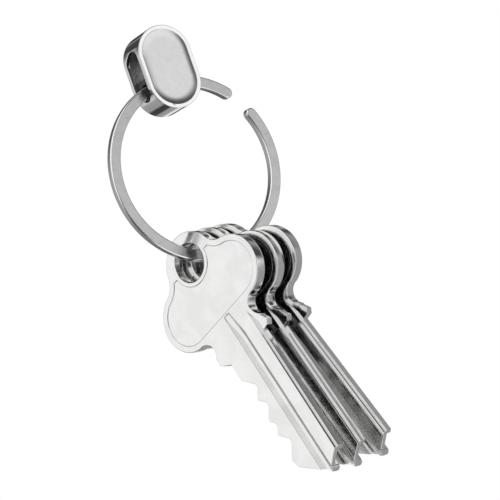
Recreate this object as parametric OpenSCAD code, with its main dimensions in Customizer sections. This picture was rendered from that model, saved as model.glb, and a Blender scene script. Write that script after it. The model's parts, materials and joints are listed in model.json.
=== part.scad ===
// Key ring: one flat open band, a sliding capsule lock that closes its gap,
// and three cylinder keys that hang on it.
// Row frame: origin at the middle of the capsule's strap window, which is
// where the ring hangs. +Z is up, against gravity, +X runs along the band
// where it passes through the capsule, and -Y faces the front plate.
// The band and the capsule lean by ring_lean, while the keys hang plumb.

/* [Ring band] */
// Outside diameter of the band (mm)
ring_od = 36; // [33:0.5:42]
// Width of the band across its flat face (mm)
band_w = 2.15; // [1.9:0.05:2.4]
// Thickness of the band (mm)
band_t = 1.65; // [1.4:0.05:1.8]
// Bevel along the band's four long edges (mm)
band_bevel = 0.2; // [0.1:0.05:0.3]
// Where the gap's middle is, measured from the capsule (degrees)
gap_at = 54.5; // [45:0.5:75]
// Opening of the gap, along the middle of the band (mm)
gap_w = 4.1; // [3.5:0.1:4.5]
// How far the band leans away from plumb (degrees)
ring_lean = 26; // [10:1:30]

/* [Capsule lock] */
// Length of the capsule, outwards from the ring's centre (mm)
cap_l = 16.3; // [15.5:0.1:17.5]
// Width of the capsule along the band (mm)
cap_w = 11.1; // [10.5:0.1:12]
// Depth of the capsule, front to back (mm)
cap_t = 7.05; // [6.9:0.05:7.6]
// Wall of the housing, which is the bright rim round each plate (mm)
cap_wall = 0.8; // [0.7:0.05:1]
// Thickness of the front and back plates (mm)
plate_t = 0.65; // [0.5:0.05:0.7]
// How deep each plate sits below the rim (mm)
plate_sink = 0.25; // [0.15:0.05:0.3]
// Height of the slot, front to back (mm)
slot_t = 5.15; // [4.6:0.05:5.25]
// Length of the slot, outwards from the ring's centre (mm)
slot_l = 10.1; // [9.8:0.1:10.6]

/* [Keys] */
// Thickness of a key (mm)
key_t = 2.2; // [2:0.1:2.3]
// Diameter of the hole in a bow (mm)
key_hole_d = 7.4; // [7.2:0.1:7.8]
// Length of a key from the middle of its hole to its tip (mm)
key_reach = 49; // [48:0.1:51]
// Depth of the thumb panel on each face (mm)
panel_depth = 0.15; // [0.1:0.05:0.2]

/* [Hidden] */
$fn = 96;
steel = [0.74, 0.74, 0.74];
mirror_steel = [0.82, 0.82, 0.83];
nickel = [0.86, 0.86, 0.86];
black = [0.16, 0.16, 0.17];
ring_fn = 240;

// Band
ring_r = ring_od / 2;
band_r = ring_r - band_w / 2;
gap_half = asin((gap_w / 2 + band_w / 2) / band_r);

// Capsule, measured along the radius from the ring's centre
cap_r = ring_r + 1.5;
cavity_w = cap_w - 2 * cap_wall;
cavity_l = cap_l - 2 * cap_wall;
cavity_t = cap_t - 2 * (plate_sink + plate_t);
run_fit = 0.06;
guide_top = ring_r + 0.75;
window_r = (guide_top + cap_r + slot_l / 2) / 2;
spring_t = 0.25;
spring_w = 1.2;
spring_span = 22;

// Key outline, in the key's own plane: x across, + on the cut side, and y
// towards the bow's end, from the middle of the hole
end_lobe = [0, -0.7];
end_lobe_r = 6.5;
side_lobe = [7.3, -7.5];
side_lobe_r = 6.35;
waist_r = 4;
neck = [8.2, -16];
neck_r = 2.25;
// How far the waist and neck circles reach into the lobes, so that they cross
overlap = 0.03;
spine_x = -5.3;
uncut_x = 4.4;
blade_top = -19.4;
tip_r = 0.8;
cuts = [2.2, 2.3, 3.1, 2.3];
cut_first = -27.3;
cut_pitch = 4.05;
cut_r = 1;
cut_flank = 50;
panel_rim = 1.25;
panel_hole_r = 4.55;
panel_top = -0.4;

// Milled grooves of the blade
groove_x = 0.05;
groove_floor = 1.25;
groove_depth = 0.9;
groove_end = -13.2;
groove_full = -18.5;
groove_end_depth = 0.2;
rebate_x = -5;
rebate_depth = 0.75;
rebate_end = -15.6;
back_groove_depth = 1.2;

// Where each key hangs: its place round the ring from the lowest point, the
// turn of its face about the plumb line, how far its tip leans away from the
// front, its swing in its own plane, and where the band's middle is in its
// hole, across and up
hangs = [[-26, 22, -0.5, -0.3, -0.4, 1.7],
         [-15, 24, 1.5, 0, 0.45, 1.2],
         [-4, 24, 4, -1.4, 0.8, 1.1]];

// Moves children from the ring's own frame (centre at the origin, capsule
// on +Z, front on -Y) to the row frame
module on_ring() {
  rotate([ring_lean, 0, 0]) translate([0, 0, -window_r]) children();
}

module stadium(w, l) {
  square([w, l - w], center = true);
  for (s = [-1, 1]) translate([0, s * (l - w) / 2]) circle(d = w);
}

// A stadium prism round the capsule's middle, between two depths on Y
module capsule_block(w, l, y0, y1) {
  translate([0, y1, cap_r]) rotate([90, 0, 0]) linear_extrude(y1 - y0) stadium(w, l);
}

module band_section() {
  w = band_w / 2;
  t = band_t / 2;
  b = band_bevel;
  polygon([[-w + b, -t], [w - b, -t], [w, -t + b], [w, t - b],
           [w - b, t], [-w + b, t], [-w, t - b], [-w, -t + b]]);
}

// One rounded end: half the band's section turned about its own middle
module band_end() {
  rotate_extrude(angle = 180) intersection() {
    band_section();
    translate([0, -band_t]) square([band_w, 2 * band_t]);
  }
}

module ring_band() {
  start = 90 - gap_at + gap_half;
  color(steel) on_ring() rotate([90, 0, 0]) {
    rotate([0, 0, start]) rotate_extrude(angle = 360 - 2 * gap_half, $fn = ring_fn)
      translate([band_r, 0]) band_section();
    rotate([0, 0, start]) translate([band_r, 0, 0]) rotate([0, 0, 180]) band_end();
    rotate([0, 0, start - 2 * gap_half]) translate([band_r, 0, 0]) band_end();
  }
}

module housing() {
  color(mirror_steel) on_ring() difference() {
    capsule_block(cap_w, cap_l, -cap_t / 2, cap_t / 2);
    capsule_block(cavity_w, cavity_l, -cap_t, cap_t);
    translate([-cap_w, 0, cap_r]) rotate([90, 0, 90])
      linear_extrude(2 * cap_w) stadium(slot_t, slot_l);
  }
}

module plate(y0) {
  color(steel) on_ring() capsule_block(cavity_w, cavity_l, y0, y0 + plate_t);
}

module front_plate() { plate(-cap_t / 2 + plate_sink); }

module back_plate() { plate(cap_t / 2 - plate_sink - plate_t); }

// The track that the band leaves free, with play all round
module band_track(outer_play) {
  rotate([90, 0, 0]) rotate_extrude($fn = ring_fn)
    translate([ring_r - band_w - run_fit, -band_t / 2 - run_fit])
      square([band_w + run_fit + outer_play, band_t + 2 * run_fit]);
}

module band_guide() {
  color(black) on_ring() difference() {
    intersection() {
      capsule_block(cavity_w, cavity_l, -cavity_t / 2, cavity_t / 2);
      translate([-cap_w, -cap_t, 0]) cube([2 * cap_w, 2 * cap_t, guide_top]);
    }
    band_track(run_fit + spring_t + 0.05);
  }
}

// Leaf that bears on the band's outer edge and holds the lock where it is put
module brake_spring() {
  color(mirror_steel) on_ring() rotate([90, 0, 0]) rotate([0, 0, 90 - spring_span / 2])
    rotate_extrude(angle = spring_span, $fn = ring_fn)
      translate([ring_r + run_fit, -spring_w / 2]) square([spring_t, spring_w]);
}

// Centre of the circle of radius r that touches two circles on the outside
function touching(a, ra, b, rb, r) =
  let(d = norm(b - a), u = (b - a) / d, p = ra + r, q = rb + r,
      t = (p * p - q * q + d * d) / (2 * d), h = sqrt(p * p - t * t))
  a + t * u + h * [-u[1], u[0]];

waist = touching(end_lobe, end_lobe_r, side_lobe, side_lobe_r, waist_r);

module at(p) { translate(p) children(); }

module both_sides() {
  children();
  mirror([1, 0]) children();
}

module bow_2d() {
  difference() {
    union() {
      at(end_lobe) circle(end_lobe_r);
      both_sides() at(side_lobe) circle(side_lobe_r);
      both_sides() polygon([end_lobe, waist, side_lobe]);
      mirror([1, 0]) polygon([[0, -7], side_lobe, neck, [6.6, -17.85], [7.35, -19.3],
                              [6.7, -20.2], [4.9, -20.4], [0, -20.4]]);
      polygon([[0, -7], side_lobe, neck, [6.6, -17.85], [6.75, -19], [6.2, -19.65],
               [4.4, -20.7], [0, -20.7]]);
    }
    both_sides() at(waist) circle(waist_r + overlap);
    both_sides() at(neck) circle(neck_r);
    circle(d = key_hole_d);
  }
}

// One bitting cut: a round bottom at x = 0 with a flank on each side
module cut_2d() {
  touch = cut_r * [-sin(cut_flank), cos(cut_flank)];
  flank = touch + 5 * [cos(cut_flank), sin(cut_flank)];
  translate([cut_r, 0]) {
    circle(cut_r + overlap);
    polygon([touch, flank, [flank[0], -flank[1]], [touch[0], -touch[1]]]);
  }
}

module blade_2d() {
  difference() {
    union() {
      polygon([[spine_x, blade_top], [uncut_x, blade_top], [uncut_x, -42.2], [3.9, -44.1],
               [-1.5 + tip_r, -key_reach + tip_r], [-1.5 - tip_r, -key_reach + tip_r],
               [spine_x, -46.2]]);
      translate([-1.5, -key_reach + tip_r]) circle(tip_r);
    }
    for (i = [0 : len(cuts) - 1]) translate([cuts[i], cut_first - i * cut_pitch]) cut_2d();
  }
}

// Sunk thumb panel: it follows the outline inside a rim, ends in a straight
// line across the neck, and stops at both sides of the hole
module panel_2d() {
  r = side_lobe_r - panel_rim;
  difference() {
    union() {
      at(end_lobe) circle(end_lobe_r - panel_rim);
      both_sides() polygon([end_lobe, waist, side_lobe]);
      both_sides() at(side_lobe) circle(r);
      translate([-side_lobe[0], side_lobe[1] - r]) square([2 * side_lobe[0], 2 * r]);
    }
    both_sides() at(waist) circle(waist_r + panel_rim + overlap);
    circle(panel_hole_r);
    translate([-end_lobe_r, panel_top]) square(2 * end_lobe_r);
  }
}

// Milled grooves along the blade, in the blade's cross-section: x across as
// in the outline, y from the front face towards the back
module front_groove_2d(f, above) {
  rise = groove_depth + above;
  polygon([[groove_x + 0.05 * rise, f - above], [groove_x, f + groove_depth],
           [groove_x - groove_floor, f + groove_depth],
           [groove_x - groove_floor - 1.2 * rise, f - above]]);
}

module along_blade(from, length) {
  translate([0, from, 0]) rotate([90, 0, 0]) linear_extrude(length) children();
}

module key_grooves(t) {
  f = -t / 2;
  slope = (groove_depth - groove_end_depth) / (groove_end - groove_full);
  intersection() {
    along_blade(groove_end, key_reach) front_groove_2d(f, 1);
    multmatrix([[1, 0, 0, 0], [0, 1, 0, 0], [0, -slope, 1, slope * groove_full]])
      along_blade(groove_end, key_reach) front_groove_2d(f, 6);
  }
  translate([rebate_x, 0, 0]) rotate([90, 0, -90]) linear_extrude(8)
    polygon([[-rebate_end, f - 1], [-rebate_end, f], [-groove_full, f + rebate_depth],
             [key_reach, f + rebate_depth], [key_reach, f - 1]]);
  along_blade(-19.6, key_reach)
    polygon([[-4.7, -f + 1], [-4.7, -f - back_groove_depth + 0.2], [-4.5, -f - back_groove_depth],
             [-2.7, -f - back_groove_depth], [-2.3, -f - back_groove_depth + 0.3],
             [-2.3, -f + 1]]);
}

// A key lying in the XY plane, middle of its thickness at Z = 0, front on -Z
module flat_key() {
  difference() {
    union() {
      translate([0, 0, -key_t / 2]) linear_extrude(key_t) bow_2d();
      translate([0, 0, -key_t / 2]) linear_extrude(key_t) blade_2d();
    }
    for (z = [-key_t / 2 - 1, key_t / 2 - panel_depth])
      translate([0, 0, z]) linear_extrude(1 + panel_depth) panel_2d();
    key_grooves(key_t);
  }
}

// Hangs a key on the band: children are turned upright about the band
module hang_key(i) {
  h = hangs[i];
  on_ring() translate([band_r * sin(h[0]), 0, -band_r * cos(h[0])])
    rotate([-ring_lean, 0, 0]) rotate([h[3], -h[2], h[1]])
      translate([0, -h[4], -h[5]]) rotate([90, 0, 90]) children();
}

module key(i) { color(nickel) hang_key(i) flat_key(); }

module key_front() { key(0); }

module key_middle() { key(1); }

module key_rear() { key(2); }

ring_band();
housing();
front_plate();
back_plate();
band_guide();
brake_spring();
key_front();
key_middle();
key_rear();
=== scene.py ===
"""Looks of the key ring: an open flat band, its capsule lock and three cylinder keys."""

import json
import math

import bmesh
import bpy
from mathutils import Matrix, Vector


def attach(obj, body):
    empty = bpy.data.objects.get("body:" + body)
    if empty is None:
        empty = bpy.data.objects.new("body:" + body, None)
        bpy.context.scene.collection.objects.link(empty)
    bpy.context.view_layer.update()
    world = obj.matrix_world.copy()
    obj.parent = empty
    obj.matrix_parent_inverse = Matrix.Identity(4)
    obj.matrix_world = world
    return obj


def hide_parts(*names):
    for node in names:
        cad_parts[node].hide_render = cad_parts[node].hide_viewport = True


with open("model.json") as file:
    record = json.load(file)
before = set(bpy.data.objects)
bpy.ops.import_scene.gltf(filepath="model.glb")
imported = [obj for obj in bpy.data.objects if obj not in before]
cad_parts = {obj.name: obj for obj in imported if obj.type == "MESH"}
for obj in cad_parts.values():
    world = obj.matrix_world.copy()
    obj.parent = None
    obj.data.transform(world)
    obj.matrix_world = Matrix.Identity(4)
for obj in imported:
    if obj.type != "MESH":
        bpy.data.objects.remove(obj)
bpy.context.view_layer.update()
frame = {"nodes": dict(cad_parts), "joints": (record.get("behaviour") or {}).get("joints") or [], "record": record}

MM = 0.001
scene = bpy.context.scene
JOINTS = {j["name"]: j for j in frame["joints"]}

# The ring's own frame: its centre, and the directions across, back and up to the capsule
RING_CENTRE = Vector(JOINTS["ring_turn"]["pos_m"])
RING_BACK = Vector(JOINTS["ring_turn"]["axis"]).normalized()
RING_ACROSS = Vector((1, 0, 0))
RING_UP = RING_ACROSS.cross(RING_BACK)

# Joining a CAD mesh: the gap between split vertices, and the bend of a face that counts as flat
JOIN_GAP = 0.0005 * MM
FLAT_BEND = math.radians(0.4)

# How far edges are rounded. A key's edge is left sharp where it is shorter than KEY_SHORTEST,
# and its blade begins BLADE_START below the pivot
SHARP_EDGE = math.radians(22)
KEY_EDGE = {"bow": 0.18 * MM, "blade": 0.1 * MM, "milled": 0.045 * MM}
KEY_SHORTEST = 0.12 * MM
KEY_FACE_GAP = 0.01 * MM
BLADE_START = 20 * MM
BAND_EDGE = 0.06 * MM
HOUSING_EDGE = 0.11 * MM
GUIDE_EDGE = 0.1 * MM
SPRING_EDGE = 0.04 * MM

# The dish in a capsule plate: how far in from the edge it starts to rise, how high, its steps,
# half the width of the innermost loop, and the bend that stays a crease
DISH_CURVE = 1.5 * MM
DISH_LIFT = 0.21 * MM
DISH_STEPS = 12
DISH_MIDDLE = 0.4 * MM
DISH_CREASE = math.radians(40)

# The band's bevelled rims are the faces whose normals lean this much towards the ring's axis; they take the
# lighter steel that paints a highlight along them
RIM_LEAN = (0.3, 0.95)

FLOOR_SIZE = 20
FLOOR_HEIGHT = -0.3

# ------------------------------------------------------------ mesh helpers


def new_object(name, bm):
    mesh = bpy.data.meshes.new(name)
    bm.normal_update()
    bm.to_mesh(mesh)
    bm.free()
    obj = bpy.data.objects.new(name, mesh)
    scene.collection.objects.link(obj)
    return obj


def body_of(node):
    return next(b for b, nodes in frame["record"]["behaviour"]["bodies"].items() if node in nodes)


def stand_for(obj, node):
    """Puts a piece in the place of a CAD node, on the node's own body."""
    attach(obj, body_of(node))
    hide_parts(node)


def from_node(node):
    """A bmesh of a CAD node with its split vertices joined and its flat faces whole."""
    bm = bmesh.new()
    bm.from_mesh(frame["nodes"][node].data)
    bmesh.ops.remove_doubles(bm, verts=bm.verts, dist=JOIN_GAP)
    bmesh.ops.dissolve_limit(bm, angle_limit=FLAT_BEND, verts=bm.verts, edges=bm.edges)
    return bm


def weigh_edges(bm, width, width_of):
    """Stores how far each sharp edge is rounded, as a share of the largest width.

    A sharp edge with no width stays sharp in the shading too.
    """
    layer = bm.edges.layers.float.new("bevel_weight_edge")
    for edge in bm.edges:
        if edge.is_manifold and edge.calc_face_angle(0) > SHARP_EDGE:
            edge[layer] = width_of(edge) / width
            edge.smooth = edge[layer] > 0


def finish_edges(obj, width):
    """Rounds the weighed edges, then smooths the shading over them."""
    bevel = obj.modifiers.new("Edges", "BEVEL")
    bevel.limit_method = "WEIGHT"
    bevel.offset_type = "OFFSET"
    bevel.width = width
    bevel.segments = 3
    bevel.use_clamp_overlap = False
    bevel.miter_outer = "MITER_ARC"
    for face in obj.data.polygons:
        face.use_smooth = True
    weighted = obj.modifiers.new("Normals", "WEIGHTED_NORMAL")
    weighted.keep_sharp = True
    weighted.weight = 100


def extents(node):
    """Lowest and highest of a node along the ring's across, back and up directions."""
    spots = [v.co - RING_CENTRE for v in frame["nodes"][node].data.vertices]
    return [(min(s.dot(d) for s in spots), max(s.dot(d) for s in spots))
            for d in (RING_ACROSS, RING_BACK, RING_UP)]


# ---------------------------------------------------------------- materials


def add(tree, kind, values=None, **settings):
    """A new node: settings are its own, values are numbers or sockets for its inputs."""
    made = tree.nodes.new(kind)
    for key, value in settings.items():
        setattr(made, key, value)
    for key, value in (values or {}).items():
        if isinstance(value, bpy.types.NodeSocket):
            tree.links.new(value, made.inputs[key])
        else:
            made.inputs[key].default_value = value
    return made


def math_node(tree, operation, *values):
    return add(tree, "ShaderNodeMath", dict(enumerate(values)), operation=operation).outputs[0]


def vector_math(tree, operation, *values):
    return add(tree, "ShaderNodeVectorMath", dict(enumerate(values)), operation=operation)


def ranged(tree, value, low, high, to_low=0.0, to_high=1.0):
    """A value carried from one range to another, easing in and out at its ends."""
    made = add(tree, "ShaderNodeMapRange",
               {"Value": value, "From Min": low, "From Max": high,
                "To Min": to_low, "To Max": to_high}, interpolation_type="SMOOTHSTEP")
    return made.outputs["Result"]


def millimetres(tree):
    place = add(tree, "ShaderNodeTexCoord").outputs["Object"]
    return vector_math(tree, "MULTIPLY", place, (1000, 1000, 1000)).outputs[0]


def noise(tree, at, scale, detail=3.0, distortion=0.0):
    return add(tree, "ShaderNodeTexNoise",
               {"Vector": at, "Scale": scale, "Detail": detail,
                "Distortion": distortion}).outputs["Fac"]


def stretched(tree, at, rotation, scale):
    return add(tree, "ShaderNodeMapping",
               {"Vector": at, "Rotation": rotation, "Scale": scale}).outputs[0]


def hairlines(tree, at, rotation, density, share):
    """Thin scratches: noise drawn out along one direction and cut to its peaks."""
    along = stretched(tree, at, rotation, (0.1 * density, density, density))
    patches = ranged(tree, noise(tree, at, 0.35, 1), 0.45, 0.6)
    lines = ranged(tree, noise(tree, along, 3, 1), share, share + 0.05)
    return math_node(tree, "MULTIPLY", lines, patches)


def bump(tree, pattern, micrometres, under=None):
    """Relief of a pattern's height, laid over the relief under it."""
    values = {"Height": pattern, "Distance": micrometres * 1e-6, "Strength": 1.0}
    if under:
        values["Normal"] = under
    return add(tree, "ShaderNodeBump", values).outputs[0]


def ring_grain(tree, at):
    """Noise drawn out along the band, by angle and radius about the ring's centre."""
    density = 14.0
    from_centre = vector_math(tree, "SUBTRACT", at, tuple(RING_CENTRE * 1000)).outputs[0]
    across = vector_math(tree, "DOT_PRODUCT", from_centre, tuple(RING_ACROSS)).outputs["Value"]
    up = vector_math(tree, "DOT_PRODUCT", from_centre, tuple(RING_UP)).outputs["Value"]
    back = vector_math(tree, "DOT_PRODUCT", from_centre, tuple(RING_BACK)).outputs["Value"]
    angle = math_node(tree, "ARCTAN2", across, up)
    radius = math_node(tree, "SQRT", math_node(tree, "ADD", math_node(tree, "POWER", across, 2.0),
                                               math_node(tree, "POWER", up, 2.0)))
    spot = {i: math_node(tree, "MULTIPLY", part, density)
            for i, part in enumerate((angle, radius, back))}
    return noise(tree, add(tree, "ShaderNodeCombineXYZ", spot).outputs[0], 1.0, 3)


def metal(name, colour, roughness, tone=0.06, cloud=0.25, uneven=0.06, waves=0.0, wave_scale=0.5,
          grain=0.0, grain_scale=10, grain_map=None, scratches=0.0):
    """Metal whose tone and polish vary a little. Sizes are in features per millimetre.

    tone and uneven are how far the colour and the roughness stray, and waves, grain and
    scratches are heights in micrometres.
    """
    mat = bpy.data.materials.new(name)
    mat.use_nodes = True
    tree = mat.node_tree
    shader = tree.nodes["Principled BSDF"]
    shader.inputs["Metallic"].default_value = 1
    at = millimetres(tree)
    lines = math_node(tree, "MAXIMUM", hairlines(tree, at, (0.3, 0.5, 0.9), 1.3, 0.66),
                      hairlines(tree, at, (1.9, -0.7, 0.2), 1.0, 0.67))
    worn = 1.0 if scratches else 0.0

    spread = ranged(tree, noise(tree, at, cloud, 5, 0.4), 0.35, 0.65, 1 - tone, 1)
    shade = math_node(tree, "SUBTRACT", spread, math_node(tree, "MULTIPLY", lines, 0.05 * worn))
    tinted = vector_math(tree, "SCALE", colour)
    tree.links.new(shade, tinted.inputs["Scale"])
    tree.links.new(tinted.outputs[0], shader.inputs["Base Color"])

    polish = ranged(tree, noise(tree, at, cloud * 2.6, 4, 0.8), 0.35, 0.68,
                    roughness * (1 - uneven), roughness * (1 + uneven))
    duller = math_node(tree, "ADD", polish, math_node(tree, "MULTIPLY", lines, 0.1 * worn))
    tree.links.new(duller, shader.inputs["Roughness"])

    relief = None
    if waves:
        relief = bump(tree, noise(tree, at, wave_scale, 2, 0.3), waves, relief)
    if grain:
        pattern = grain_map(tree, at) if grain_map else noise(tree, at, grain_scale, 3)
        relief = bump(tree, pattern, grain, relief)
    if scratches:
        relief = bump(tree, math_node(tree, "SUBTRACT", 1.0, lines), scratches, relief)
    tree.links.new(relief, shader.inputs["Normal"])
    return mat


def blade_grain(tree, at):
    """Milling and polishing lines that run down the key."""
    return noise(tree, stretched(tree, at, (0, 0, 0.38), (2.2, 2.2, 0.09)), 1.6, 4, 0.2)


def acetal():
    mat = bpy.data.materials.new("Black_acetal")
    mat.use_nodes = True
    tree = mat.node_tree
    shader = tree.nodes["Principled BSDF"]
    at = millimetres(tree)
    shader.inputs["Base Color"].default_value = (0.025, 0.025, 0.026, 1)
    polish = ranged(tree, noise(tree, at, 1.5, 4), 0.3, 0.7, 0.4, 0.6)
    tree.links.new(polish, shader.inputs["Roughness"])
    tree.links.new(bump(tree, noise(tree, at, 9, 2), 4), shader.inputs["Normal"])
    return mat


satin = metal("Satin_steel", (0.52, 0.52, 0.52), 0.3, tone=0.05, cloud=0.6,
              grain=1.8, grain_map=ring_grain, scratches=0.3)
# The band's bevelled rims: satin steel polished a little smoother, and painted lighter as a highlight along the
# edges
rim_polish_and_painted_highlight = metal("Satin_steel_rim_painted_highlight", (0.9, 0.9, 0.9), 0.2, tone=0.03,
                   grain=0.3, grain_map=ring_grain)
polished = metal("Polished_steel", (0.83, 0.83, 0.83), 0.06, tone=0.05, waves=1.5, wave_scale=0.35,
                 grain=0.12, grain_scale=14, scratches=0.5)
plate = metal("Blasted_steel", (0.7, 0.7, 0.7), 0.24, tone=0.02, cloud=0.3,
              grain=0.7, grain_scale=9)
nickel = metal("Nickel", (0.84, 0.84, 0.835), 0.13, tone=0.07, cloud=0.22, waves=5, wave_scale=0.5,
               grain=1.2, grain_map=blade_grain, scratches=1.0, uneven=0.3)
spring = metal("Spring_steel", (0.6, 0.6, 0.61), 0.2, grain=0.8, grain_scale=8)
black = acetal()


def dress(obj, mat):
    obj.data.materials.clear()
    obj.data.materials.append(mat)


# ---------------------------------------------------------------- pieces


def refined(node, mat, width, width_of=None):
    bm = from_node(node)
    weigh_edges(bm, width, width_of or (lambda edge: width))
    obj = new_object(node + "_piece", bm)
    finish_edges(obj, width)
    dress(obj, mat)
    stand_for(obj, node)
    return obj


def stadium(width, length, inset, steps=32):
    """Points round a stadium whose edge is moved in by an inset, as across and up."""
    r = width / 2 - inset
    half = (length - width) / 2
    points = []
    for side in (1, -1):
        for i in range(steps + 1):
            a = math.pi * i / steps
            points.append((side * r * math.cos(a), side * (half + r * math.sin(a))))
    return points


def dished_plate(node, side):
    """A capsule plate that curves up to its edge; side is -1 for the front, 1 for the back."""
    across, depth, up = extents(node)
    width, length = across[1] - across[0], up[1] - up[0]
    middle = (up[0] + up[1]) / 2
    face, inner = (depth[0], depth[1]) if side < 0 else (depth[1], depth[0])
    steps = [k / DISH_STEPS for k in range(DISH_STEPS + 1)]
    loops = [(width / 2 - DISH_MIDDLE, face)]
    loops += [(DISH_CURVE * (1 - k), face + side * DISH_LIFT * k * k) for k in steps]
    loops.append((0, inner))
    bm = bmesh.new()
    rings = []
    for inset, level in loops:
        centre = RING_CENTRE + RING_BACK * level + RING_UP * middle
        rings.append([bm.verts.new(centre + RING_ACROSS * x + RING_UP * y)
                      for x, y in stadium(width, length, inset)])
    for low, high in zip(rings, rings[1:]):
        for i in range(len(low)):
            j = (i + 1) % len(low)
            bm.faces.new((low[i], low[j], high[j], high[i]))
    bm.faces.new(rings[0])
    bm.faces.new(rings[-1])
    bmesh.ops.recalc_face_normals(bm, faces=bm.faces)
    obj = new_object(node + "_piece", bm)
    for polygon in obj.data.polygons:
        polygon.use_smooth = True
    obj.data.set_sharp_from_angle(angle=DISH_CREASE)
    dress(obj, plate)
    stand_for(obj, node)


def key_piece(node):
    """A key whose outline is rounded by tumbling and whose milled edges stay crisp."""
    joint = JOINTS[body_of(node) + "_swing"]
    pivot, normal = Vector(joint["pos_m"]), Vector(joint["axis"]).normalized()
    depths = [(v.co - pivot).dot(normal) for v in frame["nodes"][node].data.vertices]
    low, high = min(depths), max(depths)

    def width_of(edge):
        level = [(v.co - pivot).dot(normal) for v in edge.verts]
        on_face = all(min(abs(d - low), abs(d - high)) < KEY_FACE_GAP for d in level)
        below = pivot.z - max(v.co.z for v in edge.verts)
        if edge.calc_length() < KEY_SHORTEST:
            return 0
        if not on_face:
            return KEY_EDGE["milled"]
        return KEY_EDGE["bow"] if below < BLADE_START else KEY_EDGE["blade"]

    refined(node, nickel, KEY_EDGE["bow"], width_of)


band = refined("ring_band", satin, BAND_EDGE)
# The rims take the lighter steel: polished a little smoother, and painted lighter as a highlight
band.data.materials.append(rim_polish_and_painted_highlight)
for face in band.data.polygons:
    if RIM_LEAN[0] < abs(face.normal.dot(RING_BACK)) < RIM_LEAN[1]:
        face.material_index = 1
refined("housing", polished, HOUSING_EDGE)
dished_plate("front_plate", -1)
dished_plate("back_plate", 1)
refined("band_guide", black, GUIDE_EDGE)
refined("brake_spring", spring, SPRING_EDGE)
for key in ("key_front", "key_middle", "key_rear"):
    key_piece(key)

# ---------------------------------------------------------------- stage

bpy.ops.mesh.primitive_plane_add(size=FLOOR_SIZE, location=(0, 0, FLOOR_HEIGHT))
floor = bpy.context.object
floor.name = "floor"
pale = bpy.data.materials.new("Pale_floor")
pale.use_nodes = True
pale_shader = pale.node_tree.nodes["Principled BSDF"]
pale_shader.inputs["Base Color"].default_value = (0.9, 0.9, 0.9, 1)
pale_shader.inputs["Roughness"].default_value = 0.8
dress(floor, pale)
floor.visible_glossy = False

# Panels of the studio as the polished metal sees them, each painted over the ones before it:
# azimuth from +Y towards +X and elevation of its middle, width, height, softness, all in degrees,
# then its brightness
ROOM = 0.35
PANELS = (
    (-112, 24, 116, 76, 14, 1.02),
    (137, -36, 60, 56, 12, 1.12),
    (38, 33, 34, 36, 10, 0.02),
    (28, 9, 14, 8, 6, 0.9),
    (2, -6, 16, 10, 6, 0.05),
    (-34, 24, 40, 36, 14, 0.62),
    (195, -30, 50, 44, 14, 0.05),
    (126, 24, 104, 52, 12, 0.06),
    (97, 24, 12, 64, 9, 0.34),
    (-20, 64, 80, 28, 12, 0.06),
    (-64, -36, 110, 26, 10, 0.05),
    (0, -90, 360, 64, 8, 1.0),
)


def studio():
    """A world that metal mirrors as the panels and everything else sees as plain white."""
    world = bpy.data.worlds.new("Studio")
    scene.world = world
    world.use_nodes = True
    tree = world.node_tree
    direction = add(tree, "ShaderNodeTexCoord").outputs["Generated"]
    x, y, z = add(tree, "ShaderNodeSeparateXYZ", {0: direction}).outputs
    azimuth = math_node(tree, "DEGREES", math_node(tree, "ARCTAN2", x, y))
    elevation = math_node(tree, "DEGREES", math_node(tree, "ARCSINE", z))
    level = ROOM
    for turn, tilt, width, height, soft, brightness in PANELS:
        turned = math_node(tree, "SUBTRACT", azimuth, float(turn))
        sideways = math_node(tree, "PINGPONG", turned, 180.0)
        upwards = math_node(tree, "ABSOLUTE", math_node(tree, "SUBTRACT", elevation, float(tilt)))
        masks = [ranged(tree, away, size / 2 + soft / 2, size / 2 - soft / 2)
                 for away, size in ((sideways, width), (upwards, height))]
        mask = math_node(tree, "MULTIPLY", *masks)
        level = add(tree, "ShaderNodeMix", {"Factor": mask, "A": level, "B": brightness}).outputs[0]
    glossy = add(tree, "ShaderNodeLightPath").outputs["Is Glossy Ray"]
    shown = add(tree, "ShaderNodeMix", {"Factor": glossy, "A": 1.0, "B": level}).outputs[0]
    tree.links.new(shown, tree.nodes["Background"].inputs["Strength"])
    tree.nodes["Background"].inputs["Color"].default_value = (1, 1, 1, 1)
    scene.view_settings.view_transform = "Standard"


studio()


def look_matrix(place, right, down, forward):
    """A camera's matrix from its place in metres and the directions it sees."""
    m = Matrix((right, [-x for x in down], [-x for x in forward])).transposed().to_4x4()
    m.translation = place
    return m


cam_data = bpy.data.cameras.new("Camera")
cam = bpy.data.objects.new("Camera", cam_data)
scene.collection.objects.link(cam)
scene.camera = cam
cam_data.sensor_width = 36
cam_data.lens = 129.9
cam_data.clip_start = 0.01
cam.matrix_world = look_matrix((-0.1699, -0.2432, -0.1751), (0.817, -0.279, -0.505),
                               (-0.270, 0.590, -0.762), (0.510, 0.759, 0.406))
